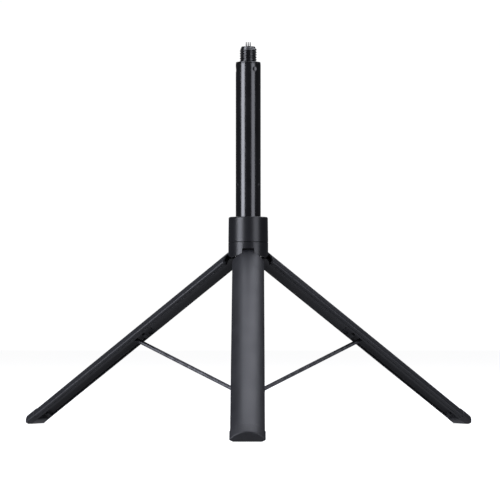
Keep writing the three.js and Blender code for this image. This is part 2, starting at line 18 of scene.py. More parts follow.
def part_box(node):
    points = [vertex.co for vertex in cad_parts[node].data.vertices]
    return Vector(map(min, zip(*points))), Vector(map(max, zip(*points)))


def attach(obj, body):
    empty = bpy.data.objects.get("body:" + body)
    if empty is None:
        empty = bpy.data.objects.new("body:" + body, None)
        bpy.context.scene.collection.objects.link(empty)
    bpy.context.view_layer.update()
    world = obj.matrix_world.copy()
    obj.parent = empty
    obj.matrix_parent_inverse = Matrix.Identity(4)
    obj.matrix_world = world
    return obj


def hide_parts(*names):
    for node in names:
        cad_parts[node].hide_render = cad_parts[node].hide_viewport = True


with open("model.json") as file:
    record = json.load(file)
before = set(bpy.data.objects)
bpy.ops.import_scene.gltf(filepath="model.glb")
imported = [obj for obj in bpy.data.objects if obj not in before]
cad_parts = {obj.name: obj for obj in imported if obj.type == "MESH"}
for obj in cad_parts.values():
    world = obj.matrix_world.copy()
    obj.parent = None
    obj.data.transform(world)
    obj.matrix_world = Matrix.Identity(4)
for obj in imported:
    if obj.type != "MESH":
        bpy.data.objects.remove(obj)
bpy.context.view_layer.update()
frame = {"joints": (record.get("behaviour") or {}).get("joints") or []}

MM = 0.001
DEGREE = math.pi / 180
FLAT_WITHIN = 0.3 * DEGREE
SHARP_FROM = 50 * DEGREE

# ------------------------ the frame's own sizes, in mm

LEGS = ("front", "right", "left")
JOINTS = {joint["name"]: joint for joint in frame["joints"]}


def node_box(node):
    """A node's lowest and highest corner in millimetres."""
    low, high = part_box(node)
    return low / MM, high / MM


def node_sizes(node):
    """Half a node's width along X, then its lowest and highest z, in millimetres."""
    low, high = node_box(node)
    return (high.x - low.x) / 2, low.z, high.z


tube_low, tube_high = node_box("mast_tube")
MAST_AXIS = (tube_low + tube_high) / 2
TUBE_RADIUS, TUBE_BOTTOM, TUBE_TOP = node_sizes("mast_tube")
COLLAR_RADIUS, SKIRT_BOTTOM, SEAM_LOW = node_sizes("collar_body")
SEAM_HIGH, COLLAR_TOP = node_sizes("collar_cap")[1:]
STUD_BOTTOM, STUD_TOP = node_sizes("head_stud")[1:]
HUB_BOTTOM, HUB_TOP = node_sizes("strut_hub")[1:]

hinge = Vector(JOINTS["leg_front_fold"]["pos_m"]) / MM
pivot = Vector(JOINTS["strut_front_swing"]["pos_m"]) / MM
HINGE_RADIUS = MAST_AXIS.y - hinge.y
HINGE_Z = hinge.z
PIVOT_RADIUS = MAST_AXIS.y - pivot.y
PIVOT_Z = pivot.z

# ------------------------ driving dimensions, in mm

GAP = 0.3
LEG_SPREAD = 55.4 * DEGREE
STRUT_LEAN = 67 * DEGREE
LEG_AZIMUTHS = {"front": 0.0, "right": 120 * DEGREE, "left": -120 * DEGREE}
LEG_SECTOR = 60 * DEGREE
PIVOT_N = 14.5
PIVOT_INSET = (HINGE_RADIUS - PIVOT_N) * math.cos(LEG_SPREAD)
PIVOT_U = (PIVOT_RADIUS - HINGE_RADIUS + PIVOT_INSET) / math.sin(LEG_SPREAD)
STRUT_LENGTH = (PIVOT_RADIUS - PIVOT_N) / math.sin(STRUT_LEAN)
HUB_PIN_Z = PIVOT_Z - STRUT_LENGTH * math.cos(STRUT_LEAN)

TUBE_WALL = 0.9
NECK_HEIGHT = 8
SECTION_COUNT = 4
SECTION_WALL = 0.8
CRIMP_Z = 242.5
CRIMP_AZIMUTHS = (60, 180, 300)
CRIMP_REACH, CRIMP_DEPTH = 2.7, 0.75
RIVET_Z = 359.3
RIVET_AZIMUTHS = (31, 151, 271)
RIVET_REACH, RIVET_DEPTH = 2.8, 0.5
SHOE_PLUG_HEIGHT = 6
SHOE_PLUG_WALL = 1.2

COLLAR_BORE = 13
COLLAR_LIP = 1.8
BUSH_CHAMBER_RADIUS = 14.1
SLOT_HALF = 5.8
SLOT_EDGE = 0.35
SLOT_TOP = 179.6
ARCH_HALF = 17.2
ARCH_RISE = 6.1
HINGE_PIN_RADIUS = 1.3
HINGE_PIN_LENGTH = 17.8
COLLAR_SCREW_RADIUS = 16.6
COLLAR_SCREW_SEAT = 174.5
COLLAR_SCREW_HEAD, COLLAR_SCREW_SHANK = 1.9, 1.0

LEG_RADIUS = 19.2
LEG_CORNER = 1.5
COVER_WALL = 1.7
LIP_RADIUS = 15.9
LIP_WIDTH = 1.6
CRADLE_RADIUS = 12.9
MATING_GAP = 0.35
KNUCKLE_RADIUS = 2.4
KNUCKLE_WIDTH = 11
CROWN_U = 3.6
CROWN_CURVE = 24
CORE_TOP_U = 6
LINER_END_U = 127
LINER_WALL = 1.6
CHANNEL_HALF = 6.8
RIB_US = (166, 206, 246)
RIB_THICKNESS = 2
RAIL_WALL = 1.3
RAIL_HOLLOW_TOP_U, RAIL_HOLLOW_END_U = 141, 284
COVER_END_U = 286.7
FOOT_TOP_U = 287
LEG_END_U = 300
TONGUE_END_U = 296
TONGUE_INNER, TONGUE_OUTER, TONGUE_ANGLE = 14.2, 16.2, 50 * DEGREE
FOOT_RADIUS = 19.8
FOOT_HEEL_N = 6.7
FOOT_CHAMFER = 1.2
FOOT_CORNER = 1.3

SADDLE_RADIUS = 15.2
SADDLE_TOP_U = 127.6
SADDLE_END_U = 137
SADDLE_ANGLE = 53 * DEGREE
BRACKET_END_U = 163
BRACKET_CHEEK = 6.4
BRACKET_SCREW_U = 132.4
BRACKET_SCREW_ANGLE = 44 * DEGREE
BRACKET_SCREW_SEAT = 14.1
BRACKET_SCREW_HEAD, BRACKET_SCREW_SHANK = 1.6, 0.8
BRACKET_SCREW_END = 16.6

STRUT_THICKNESS = 3.2
STRUT_WIDTH = 6
STRUT_PIN_RADIUS = 0.9

HUB_CORE_RADIUS = 10.8
HUB_SCREW_BORE = 1.9
EAR_INNER, EAR_OUTER = 3.35, 5.4
EAR_ROOT, EAR_REACH = 8.2, 16.4
EAR_HALF_HEIGHT = 3.1
SEAT_HALF = 1.2

FLANGE_RADIUS = 12.4
FLANGE_TOP = 366.9
THREAD_RADIUS = 8.45
THREAD_DEPTH = 0.85
THREAD_PITCH = 2.5
THREAD_RUN_OUT = 0.7
THREAD_ROWS = 96
CUP_RADIUS = 5.6
CUP_FLOOR = FLANGE_TOP + 3
CONTACT_COUNT = 3
CONTACT_PITCH = 1.95
CONTACT_HOLE = 0.85

# ------------------------ camera

CAMERA_DISTANCE = 2515
CAMERA_HEIGHT = 111.7
CAMERA_AZIMUTH = 0.15 * DEGREE
CAMERA_LENS = 181.08
AIM_Z = 178.7
AIM_RIGHT = 1.75


def added(name, data):
    """A new object in the scene with this data."""
    obj = bpy.data.objects.new(name, data)
    bpy.context.scene.collection.objects.link(obj)
    return obj


def make_camera():
    """A long lens in front of the stand, a little above the middle of its legs."""
    data = bpy.data.cameras.new("camera")
    data.lens = CAMERA_LENS
    data.sensor_width = 36
    data.clip_end = 100
    camera = added("camera", data)
    across = Vector((math.cos(CAMERA_AZIMUTH), math.sin(CAMERA_AZIMUTH), 0))
    back = Vector((math.sin(CAMERA_AZIMUTH), -math.cos(CAMERA_AZIMUTH), 0))
    foot = Vector((MAST_AXIS.x, MAST_AXIS.y, 0))
    place = foot + back * CAMERA_DISTANCE + Vector((0, 0, CAMERA_HEIGHT))
    aim = foot + across * AIM_RIGHT + Vector((0, 0, AIM_Z))
    camera.location = place * MM
    camera.rotation_mode = "QUATERNION"
    camera.rotation_quaternion = (aim - place).to_track_quat("-Z", "Y")
    bpy.context.scene.camera = camera


make_camera()

# ------------------------ materials


class Nodes:
    """A small helper round one material's node tree."""

    def __init__(self, name):
        self.material = bpy.data.materials.new(name)
        self.material.use_nodes = True
        self.tree = self.material.node_tree
        self.shader = self.tree.nodes["Principled BSDF"]

    def add(self, kind, inputs=None, **settings):
        node = self.tree.nodes.new(kind)
        for key, value in settings.items():
            setattr(node, key, value)
        for key, value in (inputs or {}).items():
            if isinstance(value, bpy.types.NodeSocket):
                self.tree.links.new(value, node.inputs[key])
            else:
                node.inputs[key].default_value = value
        return node

    def maths(self, operation, first, second):
        return self.add("ShaderNodeMath", {0: first, 1: second}, operation=operation).outputs[0]

    def ranged(self, value, low, high, to_low, to_high):
        """The value moved from the range low to high into the range to_low to to_high."""
        node = self.add("ShaderNodeMapRange", {0: value, 1: low, 2: high, 3: to_low, 4: to_high})
        return node.outputs[0]

    def mixed(self, factor, first, second):
        node = self.add("ShaderNodeMix", {0: factor}, data_type="RGBA")
        for index, colour in ((6, first), (7, second)):
            if isinstance(colour, bpy.types.NodeSocket):
                self.tree.links.new(colour, node.inputs[index])
            else:
                node.inputs[index].default_value = (*colour, 1)
        return node.outputs[2]

    def noise(self, scale, detail=3, stretch=(1, 1, 1)):
        """Noise over the piece's own coordinates, so that it moves with the piece."""
        place = self.add("ShaderNodeTexCoord").outputs["Object"]
        mapping = self.add("ShaderNodeMapping", {"Vector": place, "Scale": stretch})
        node = self.add("ShaderNodeTexNoise",
                        {"Vector": mapping.outputs[0], "Scale": scale, "Detail": detail})
        return node.outputs["Fac"]

    def link(self, value, socket):
        self.tree.links.new(value, self.shader.inputs[socket])


def finish(name, colour, worn, roughness, grain, metallic=0.0, specular=0.5, stretch=(1, 1, 1),
           blotch=0.06, wear=0.5):
    """A moulded, drawn or cast surface: grain in the bump, blotches in the gloss, worn edges.

    grain is (features per metre, height in metres); worn is the colour that edges rub down to.
    """
    nodes = Nodes(name)
    shader = nodes.shader
    shader.inputs["Metallic"].default_value = metallic
    shader.inputs["Specular IOR Level"].default_value = specular
    large = nodes.noise(35, detail=4)
    fine = nodes.noise(grain[0], detail=4, stretch=stretch)
    edge = nodes.add("ShaderNodeNewGeometry").outputs["Pointiness"]
    rubbed = nodes.ranged(edge, 0.53, 0.62, 0.0, wear)
    patchy = nodes.maths("MULTIPLY", rubbed, nodes.ranged(nodes.noise(260), 0.38, 0.62, 0.0, 1.0))
    shade = nodes.mixed(nodes.ranged(large, 0.3, 0.7, 0.0, 1.0),
                        [c * 0.86 for c in colour], [c * 1.14 for c in colour])
    nodes.link(nodes.mixed(patchy, shade, worn), "Base Color")
    gloss = nodes.ranged(large, 0.3, 0.7, roughness - blotch, roughness + blotch)
    speck = nodes.ranged(fine, 0.3, 0.7, -0.03, 0.03)
    nodes.link(nodes.maths("ADD", gloss, speck), "Roughness")
    bump = nodes.add("ShaderNodeBump", {"Height": fine, "Distance": grain[1], "Strength": 1.0})
    nodes.link(bump.outputs[0], "Normal")
    return nodes.material


ANODISED = finish(
    "black_anodised_tube", colour=(0.004, 0.0042, 0.005), worn=(0.05, 0.05, 0.055), roughness=0.2,
    grain=(700, 0.0000035), specular=0.68, stretch=(3, 3, 0.05), blotch=0.03, wear=0.35)
COLLAR_PLASTIC = finish(
    "satin_black_moulding", colour=(0.008, 0.0083, 0.0098), worn=(0.035, 0.035, 0.038),
    roughness=0.34, grain=(2600, 0.000005), specular=0.42, blotch=0.03)
SHELL = finish(
    "charcoal_leg_shell", colour=(0.014, 0.0145, 0.017), worn=(0.04, 0.04, 0.044), roughness=0.48,
    grain=(3000, 0.000006), blotch=0.04)
NYLON = finish(
    "black_nylon", colour=(0.006, 0.0062, 0.007), worn=(0.025, 0.025, 0.027), roughness=0.5,
    grain=(2200, 0.000006), specular=0.32)
RUBBER = finish(
    "foot_rubber", colour=(0.013, 0.0135, 0.0155), worn=(0.035, 0.035, 0.038), roughness=0.5,
    grain=(3600, 0.00001), specular=0.48)
CORE_PLASTIC = finish(
    "charcoal_leg_core", colour=(0.013, 0.0135, 0.0155), worn=(0.035, 0.035, 0.038), roughness=0.5,
    grain=(2600, 0.000006), blotch=0.04)
DARK_STEEL = finish(
    "blackened_steel", colour=(0.036, 0.036, 0.039), worn=(0.2, 0.2, 0.21), roughness=0.46,
    grain=(1800, 0.000008), metallic=0.85, stretch=(1, 1, 0.4))
CONTACT_METAL = finish(
    "nickel_contact", colour=(0.09, 0.09, 0.092), worn=(0.3, 0.3, 0.3), roughness=0.36,
    grain=(2500, 0.000004), metallic=1.0)

# ------------------------ outlines


def rounded(corners, steps=4):
    """A closed outline from (x, y, radius) corners, each one turned into an arc."""
    points = []
    for index, (x, y, radius) in enumerate(corners):
        here = Vector((x, y))
        if radius <= 0:
            points.append(here)
            continue
        before = (Vector(corners[index - 1][:2]) - here).normalized()
        after = (Vector(corners[(index + 1) % len(corners)][:2]) - here).normalized()
        half = before.angle(after) / 2
        centre = here + (before + after).normalized() * (radius / math.sin(half))
        start = here + before * (radius / math.tan(half)) - centre
        end = here + after * (radius / math.tan(half)) - centre
        first = math.atan2(start.y, start.x)
        turn = (math.atan2(end.y, end.x) - first + math.pi) % (2 * math.pi) - math.pi
        for step in range(steps + 1):
            angle = first + turn * step / steps
            points.append(centre + Vector((math.cos(angle), math.sin(angle))) * radius)
    return points


def inset(points, distance):
    """An anticlockwise outline moved inwards by a small distance."""
    moved = []
    for index, here in enumerate(points):
        before = (here - points[index - 1]).normalized()
        after = (points[(index + 1) % len(points)] - here).normalized()
        normal = Vector((-before.y, before.x)) + Vector((-after.y, after.x))
        normal.normalize()
        stretch = max(0.5, normal.dot(Vector((-after.y, after.x))))
        moved.append(here + normal * (distance / stretch))
    return moved


def anticlockwise(points):
    area = sum(a.x * b.y - b.x * a.y for a, b in zip(points, points[1:] + points[:1]))
    return points if area > 0 else points[::-1]


def on_arc(radius, angle):
    """A point of a leg's section: radius from the folded mast's axis, angle from its middle."""
    return (radius * math.sin(angle), HINGE_RADIUS - radius * math.cos(angle))


def side_angle(radius):
    """The angle at which a leg's flat side lies, just short of the edge of its sector."""
    return LEG_SECTOR - math.asin(MATING_GAP / radius)


def arc(radius, start, end, steps):
    """Sharp corners along an arc of a leg's section."""
    return [(*on_arc(radius, start + (end - start) * step / steps), 0.0)
            for step in range(steps + 1)]


def band(inner, outer, angle, corner=0.3, steps=16):
    """A band between two radii, out to the same angle on both sides."""
    corners = [(*on_arc(inner, -angle), corner)]
    corners += arc(inner, -angle, angle, steps)[2:-2]
    corners += [(*on_arc(inner, angle), corner), (*on_arc(outer, angle), corner)]
    corners += arc(outer, angle, -angle, steps)[2:-2]
    corners += [(*on_arc(outer, -angle), corner)]
    return anticlockwise(rounded(corners, 3))


# ------------------------ solids


def new_mesh(name, points, faces):
    """A closed mesh from points in millimetres, with its faces turned outwards."""
    mesh = bpy.data.meshes.new(name)
    mesh.from_pydata([Vector(point) * MM for point in points], [], faces)
    work = bmesh.new()
    work.from_mesh(mesh)
    bmesh.ops.remove_doubles(work, verts=work.verts, dist=1e-7)
    bmesh.ops.dissolve_degenerate(work, edges=work.edges, dist=1e-8)
    loose = [edge for edge in work.edges if not edge.link_faces]
    bmesh.ops.delete(work, geom=loose, context="EDGES")
    bmesh.ops.recalc_face_normals(work, faces=work.faces)
    work.to_mesh(mesh)
    work.free()
    return mesh


def lofted(name, rings):
    """Closed rings of equal count joined one after another, with both ends capped."""
    count = len(rings[0])
    faces = []
    for ring, turn in ((0, -1), (len(rings) - 1, 1)):
        flat = [Vector((point[0], point[1], 0)) for point in rings[ring]]
        for triangle in tessellate_polygon([flat]):
            faces.append([ring * count + index for index in triangle][::turn])
    for ring in range(len(rings) - 1):
        for index in range(count):
            after = (index + 1) % count
            low, high = ring * count, (ring + 1) * count
            faces.append((low + index, low + after, high + after, high + index))
    return new_mesh(name, [point for ring in rings for point in ring], faces)


def drawn(name, outline, low, high, edge=0.3, steps=3, top_drop=None, levels=()):
    """An outline drawn from z = low to high with rounded end edges.

    top_drop(x) is how far the upper end is lowered; levels are extra heights between the ends.
    """
    outline = anticlockwise([Vector(point) for point in outline])
    ends = [(edge * (1 - math.sin(t)), edge * (1 - math.cos(t)))
            for t in (math.pi / 2 * step / steps for step in range(steps + 1))]
    rings = []
    for sink, shrink in ends:
        ring = inset(outline, sink) if sink > 0 else outline
        rings.append([(p.x, p.y, low + shrink) for p in ring])
    for level in levels:
        rings.append([(p.x, p.y, level) for p in outline])
    for sink, shrink in reversed(ends):
        ring = inset(outline, sink) if sink > 0 else outline
        drops = [top_drop(p.x) if top_drop else 0.0 for p in ring]
        rings.append([(p.x, p.y, high - shrink - drop) for p, drop in zip(ring, drops)])
    return lofted(name, rings)


def ring_of(name, loops):
    """Closed loops of equal count joined one after another, and the last to the first."""
    count = len(loops[0])
    faces = []
    for turn in range(len(loops)):
        here, there = turn * count, (turn + 1) % len(loops) * count
        for index in range(count):
            after = (index + 1) % count
            faces.append((here + index, here + after, there + after, there + index))
    return new_mesh(name, [point for loop in loops for point in loop], faces)


def turned(name, outline, segments=64, radial=None, groove_from=0.0):
    """A closed outline of (radius, z) turned about Z.

    radial(angle, z) is taken off every radius beyond groove_from.
    """
    loops = []
    for turn in range(segments):
        angle = 2 * math.pi * turn / segments
        loop = []
        for radius, z in outline:
            reach = radius - (radial(angle, z) if radial and radius > groove_from else 0.0)
            loop.append((reach * math.sin(angle), -reach * math.cos(angle), z))
        loops.append(loop)
    return ring_of(name, loops)


def rod(name, radius, low, high, edge=0.2, segments=32):
    """A round pin along Z."""
    corners = [(0, low, 0), (radius, low, edge), (radius, high, edge), (0, high, 0)]
    return turned(name, rounded(corners, 3), segments)


def moved(mesh, matrix):
    """The mesh after a move that is given in millimetres."""
    scaled = matrix.copy()
    scaled.translation *= MM
    mesh.transform(scaled)
    return mesh


def across(mesh, y=0.0, z=0.0):
    """Lays a mesh that was made along Z along X instead, at a height."""
    return moved(mesh, Matrix.Translation((0, y, z)) @ Matrix.Rotation(math.pi / 2, 4, "Y"))


def drawn_across(name, outline, low, high, edge=0.3, steps=3):
    """An outline of (y, z) drawn along X."""
    stand_up = Matrix(((0, 0, 1, 0), (1, 0, 0, 0), (0, 1, 0, 0), (0, 0, 0, 1)))
    return moved(drawn(name, outline, low, high, edge, steps), stand_up)


def combined(name, first, joins=(), cuts=()):
    """Joins meshes to the first one, cuts others from it, and makes each flat face one face."""
    obj = added(name, first)
    tools = []
    for operation, meshes in (("UNION", joins), ("DIFFERENCE", cuts)):
        for mesh in meshes:
            tool = added("tool", mesh)
            modifier = obj.modifiers.new("combine", "BOOLEAN")
            modifier.operation = operation
            modifier.solver = "MANIFOLD"
            modifier.object = tool
            tools.append(tool)
    bpy.context.view_layer.update()
    depsgraph = bpy.context.evaluated_depsgraph_get()
    mesh = bpy.data.meshes.new_from_object(obj.evaluated_get(depsgraph))
    mesh.name = name
    for used in (obj, *tools):
        bpy.data.objects.remove(used)
    work = bmesh.new()
    work.from_mesh(mesh)
    bmesh.ops.dissolve_limit(work, angle_limit=FLAT_WITHIN, verts=work.verts, edges=work.edges)
    work.to_mesh(mesh)
    work.free()
    return mesh


# ------------------------ placing pieces

MAST_FRAME = Matrix.Translation((MAST_AXIS.x * MM, MAST_AXIS.y * MM, 0))


def azimuth_frame(leg):
    """The mast's frame turned so that -Y points along a leg."""
    return MAST_FRAME @ Matrix.Rotation(LEG_AZIMUTHS[leg], 4, "Z")


def leg_frame(leg):
    hinge_place = Matrix.Translation((0, -HINGE_RADIUS * MM, HINGE_Z * MM))
    return azimuth_frame(leg) @ hinge_place @ Matrix.Rotation(-LEG_SPREAD, 4, "X")


def strut_frame(leg):
    pivot_place = Matrix.Translation((0, -PIVOT_RADIUS * MM, PIVOT_Z * MM))
    return azimuth_frame(leg) @ pivot_place @ Matrix.Rotation(STRUT_LEAN, 4, "X")


def place(node, mesh, material, body, matrix):
    """Puts a copy of a mesh in the scene as the piece that stands for a CAD node."""
    mesh = mesh.copy()
    mesh.transform(matrix)
    mesh.materials.clear()
    mesh.materials.append(material)
    mesh.shade_smooth()
    mesh.set_sharp_from_angle(angle=SHARP_FROM)
    piece = added(f"{node}_finished", mesh)
    weighted = piece.modifiers.new("weighted", "WEIGHTED_NORMAL")
    weighted.keep_sharp = True
    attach(piece, body)
    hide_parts(node)


# ------------------------ mast


def dents(groups):
    """Pressed round hollows; each group is (z, degrees, radius, depth) on a tube's radius."""
    def depth_at(angle, z):
        total = 0.0
        for height, azimuths, reach, depth in groups:
            if abs(z - height) > reach:
                continue
            for degrees in azimuths:
                turn = (angle - degrees * DEGREE + math.pi) % (2 * math.pi) - math.pi
                distance = math.hypot(turn * TUBE_RADIUS, z - height)
                if distance < reach:
                    total += depth * (1 - (distance / reach) ** 2) ** 1.5
        return total
    return depth_at


def necked_outline(outer, wall, low, high, edge=0.35, rows=()):
    """A drawn tube whose mouth is rolled inwards. rows are extra heights up the wall."""
    inner = outer - wall
    neck = inner - 0.7
    corners = [(inner, low, 0.12), (outer, low, 0.2)]
    corners += [(outer, z, 0) for z in rows]
    corners += [(outer, high, edge), (neck, high, 0.25), (neck, high - NECK_HEIGHT, 0.3),
                (inner, high - NECK_HEIGHT - 1, 0)]
    corners += [(inner, z, 0) for z in reversed(rows) if z < high - NECK_HEIGHT - 1]
    return rounded(corners, 4)


def dense_rows(*centres):
    """Heights close together round each centre, where the wall is pressed in."""
    return [centre + step * 0.36 for centre in centres for step in range(-9, 10)]


def snap_groove(radius, low, depth, corner=0.1):
    """Corners of a groove round a plug, from its lower edge upwards."""
    bottom = radius - depth
    return [(radius, low, 0.1), (bottom, low + 0.3, corner), (bottom, low + 1.3, corner),
            (radius, low + 1.6, 0.1)]


def mast_tube_mesh():
    pressed = dents([(CRIMP_Z, CRIMP_AZIMUTHS, CRIMP_REACH, CRIMP_DEPTH),
                     (RIVET_Z, RIVET_AZIMUTHS, RIVET_REACH, RIVET_DEPTH)])
    outline = necked_outline(TUBE_RADIUS, TUBE_WALL, TUBE_BOTTOM, TUBE_TOP,
                             rows=dense_rows(CRIMP_Z, RIVET_Z))
    return turned("mast_tube", outline, 160, pressed)


def mast_plug_mesh():
    radius, low, high = node_sizes("mast_plug")
    corners = [(HUB_SCREW_BORE, low, 0.2), (radius, low, 0.5)]
    for groove in (low + 5, low + 10):
        corners += snap_groove(radius, groove, 0.6, 0.15)
    corners += [(radius, high, 0.5), (HUB_SCREW_BORE, high, 0.2)]
    return turned("mast_plug", rounded(corners, 3), 64)


def make_mast():
    head, low, high = node_sizes("hub_screw")
    screw = screw_mesh("hub_screw", head, 2.1, 1.6, low, high, recess=1.5)
    for node, mesh, material in (("mast_tube", mast_tube_mesh(), ANODISED),
                                 ("mast_plug", mast_plug_mesh(), NYLON),
                                 ("strut_hub", strut_hub_mesh(), NYLON),
                                 ("hub_screw", screw, DARK_STEEL)):
        place(node, mesh, material, "mast", MAST_FRAME)


def cross_recess(size, low, depth):
    """A tapering cross, cut into a screw head that faces down from z = low."""
    bars = []
    for turn in (0, math.pi / 2):
        half, thin = size, size * 0.28
        rings = []
        for z, scale in ((low - 1, 1.25), (low, 1.0), (low + depth, 0.35)):
            corners = [(-half, -thin), (half, -thin), (half, thin), (-half, thin)]
            rings.append([(x * scale, y * max(scale, 0.7), z) for x, y in corners])
        bars.append(moved(lofted("recess", rings), Matrix.Rotation(turn, 4, "Z")))
    return bars


def screw_mesh(name, head, head_height, shank, low, high, recess):
    """A pan head screw along Z with its head at the bottom and a cross recess."""
    corners = [(0, low, 0), (head, low, min(0.8, head * 0.35)), (head, low + head_height, 0.1),
               (shank, low + head_height, 0.1)]
    z = low + head_height + 1.2
    while z < high - 1.6:
        corners += [(shank * 0.86, z, 0), (shank, z + 0.3, 0)]
        z += 0.6
    corners += [(shank, high, shank * 0.4), (0, high, 0)]
    body = turned(name, rounded(corners, 2), 28)
    return combined(name, body, cuts=cross_recess(recess, low, head_height * 0.6))


def strut_hub_mesh():
    """The round foot of the mast with a pair of ears, and a seat open downwards, for each strut."""
    corners = [(HUB_SCREW_BORE, HUB_BOTTOM, 0.2), (HUB_CORE_RADIUS, HUB_BOTTOM, 1.0),
               (HUB_CORE_RADIUS, HUB_TOP, 0.5), (HUB_SCREW_BORE, HUB_TOP, 0.2)]
    core = turned("strut_hub", rounded(corners, 4), 72)
    ear_low, ear_high = HUB_PIN_Z - EAR_HALF_HEIGHT, HUB_PIN_Z + EAR_HALF_HEIGHT
    ear_outline = rounded([(-EAR_REACH, ear_low, 2.2), (-EAR_ROOT, ear_low, 0),
                           (-EAR_ROOT, ear_high, 0), (-EAR_REACH, ear_high, 2.2)], 5)
    seat_low, seat_high = HUB_PIN_Z - 6, HUB_PIN_Z + SEAT_HALF
    seat_outline = rounded([(-PIVOT_N - SEAT_HALF, seat_low, 0), (-PIVOT_N + SEAT_HALF, seat_low, 0),
                            (-PIVOT_N + SEAT_HALF, seat_high, 1.1),
                            (-PIVOT_N - SEAT_HALF, seat_high, 1.1)], 5)
    ears, seats = [], []
    for leg in LEGS:
        turn = Matrix.Rotation(LEG_AZIMUTHS[leg], 4, "Z")
        for low, high in ((-EAR_OUTER, -EAR_INNER), (EAR_INNER, EAR_OUTER)):
            ears.append(moved(drawn_across("ear", ear_outline, low, high, 0.35), turn))
        seats.append(moved(drawn_across("seat", seat_outline, -7, 7, 0.01, 1), turn))
    return combined("strut_hub", core, joins=ears, cuts=seats)


def section_tube_mesh(number):
    outer, low, high = node_sizes(f"mast_section_{number}")
    inner = outer - SECTION_WALL
    if number == SECTION_COUNT:
        outline = rounded([(inner, low, 0.1), (outer, low, 0.15), (outer, high, 0.2),
                           (inner, high, 0.15)], 3)
    else:
        outline = necked_outline(outer, SECTION_WALL, low, high, edge=0.3)
    return turned(f"mast_section_{number}", outline, 96)


def section_shoe_mesh(number):
    """The slide bush on a section's lower end, with a thinner plug up inside the section."""
    radius, low, plug_top = node_sizes(f"section_shoe_{number}")
    shoe_top = plug_top - SHOE_PLUG_HEIGHT
    plug_radius = node_sizes(f"mast_section_{number}")[0] - SECTION_WALL - GAP
    bore = plug_radius - SHOE_PLUG_WALL
    corners = [(bore, low, 0.2), (radius, low, 0.7)]
    for groove in (low + 3.2, low + 7.2):
        corners += snap_groove(radius, groove, 0.35)
    corners += [(radius, shoe_top, 0.25), (plug_radius, shoe_top, 0.1), (plug_radius, plug_top, 0.4),
                (bore, plug_top, 0.2)]
    return turned(f"section_shoe_{number}", rounded(corners, 3), 72)


def make_sections():
    for number in range(1, SECTION_COUNT + 1):
        body = f"section_{number}"
        place(f"mast_section_{number}", section_tube_mesh(number), ANODISED, body, MAST_FRAME)
        place(f"section_shoe_{number}", section_shoe_mesh(number), NYLON, body, MAST_FRAME)


# ------------------------ head


def head_stud_mesh():
    """The flange and the hollow threaded stud, with a tail down into the last section."""
    tail = node_sizes(f"mast_section_{SECTION_COUNT}")[0] - SECTION_WALL - GAP
    root = THREAD_RADIUS - THREAD_DEPTH
    thread_low, thread_high = FLANGE_TOP + 0.6, STUD_TOP - 2.6
    rise = thread_high - thread_low
    corners = [(0, STUD_BOTTOM, 0), (tail, STUD_BOTTOM, 0.4), (tail, TUBE_TOP + GAP, 0.15),
               (FLANGE_RADIUS, TUBE_TOP + GAP, 0.25), (FLANGE_RADIUS, FLANGE_TOP, 0.7),
               (THREAD_RADIUS, FLANGE_TOP, 0.15)]
    corners += [(THREAD_RADIUS, thread_low + rise * step / THREAD_ROWS, 0)
                for step in range(THREAD_ROWS + 1)]
    corners += [(root, STUD_TOP - 1.9, 0.2), (root - 0.55, STUD_TOP - 1.4, 0.15),
                (root - 0.65, STUD_TOP, 0.45), (CUP_RADIUS, STUD_TOP, 0.2),
                (CUP_RADIUS, CUP_FLOOR, 0.3), (0, CUP_FLOOR, 0)]

    def thread(angle, z):
        """How deep the thread is cut: a vee that climbs one pitch a turn and starts gently."""
        if not thread_low <= z <= thread_high:
            return 0.0
        phase = ((z - thread_low) / THREAD_PITCH - angle / (2 * math.pi)) % 1.0
        slope = abs(phase - 0.5) * 2
        cut = min(1.0, max(0.0, (slope - 0.22) / 0.6))
        run_out = min(1.0, (z - thread_low) / THREAD_RUN_OUT)
        return THREAD_DEPTH * cut * run_out

    return turned("head_stud", rounded(corners, 4), 120, thread, root)


def contact_shift(index):
    """The place of a contact in the row across the head."""
    return Matrix.Translation(((index - (CONTACT_COUNT - 1) / 2) * CONTACT_PITCH, 0, 0))


def contact_block_mesh():
    radius, low, high = node_sizes("contact_block")
    corners = [(0, low, 0), (radius, low, 0.3), (radius, high, 0.6), (radius - 1.1, high, 0.1),
               (radius - 1.3, high - 0.25, 0.1), (0, high - 0.25, 0)]
    block = turned("contact_block", rounded(corners, 3), 64)
    hole_low = node_sizes("contact_pin_1")[1] - GAP
    holes = [moved(rod("hole", CONTACT_HOLE, hole_low, STUD_TOP + 2, 0.05), contact_shift(index))
             for index in range(CONTACT_COUNT)]
    return combined("contact_block", block, cuts=holes)


def contact_pin_mesh(index):
    radius, low, high = node_sizes(f"contact_pin_{index + 1}")
    tip = radius - 0.14
    corners = [(0, low, 0), (radius, low, 0.1), (radius, high - 2.2, 0.05), (tip, high - 2.0, 0.05),
               (tip, high, radius * 0.7), (0, high, 0)]
    pin = turned(f"contact_pin_{index + 1}", rounded(corners, 5), 32)
    return moved(pin, contact_shift(index))


def make_head():
    body = f"section_{SECTION_COUNT}"
    place("head_stud", head_stud_mesh(), ANODISED, body, MAST_FRAME)
    place("contact_block", contact_block_mesh(), NYLON, body, MAST_FRAME)
    for index in range(CONTACT_COUNT):
        place(f"contact_pin_{index + 1}", contact_pin_mesh(index), CONTACT_METAL, body, MAST_FRAME)


# ------------------------ collar


def skirt_edge(x):
    """Height of the skirt's lower edge over a leg, by the distance across the leg."""
    share = 1 - min(abs(x), ARCH_HALF) / ARCH_HALF
    shoulder = ARCH_RISE * 0.42
    return SKIRT_BOTTOM + 2 * shoulder * share * (1 - share) + ARCH_RISE * share * share


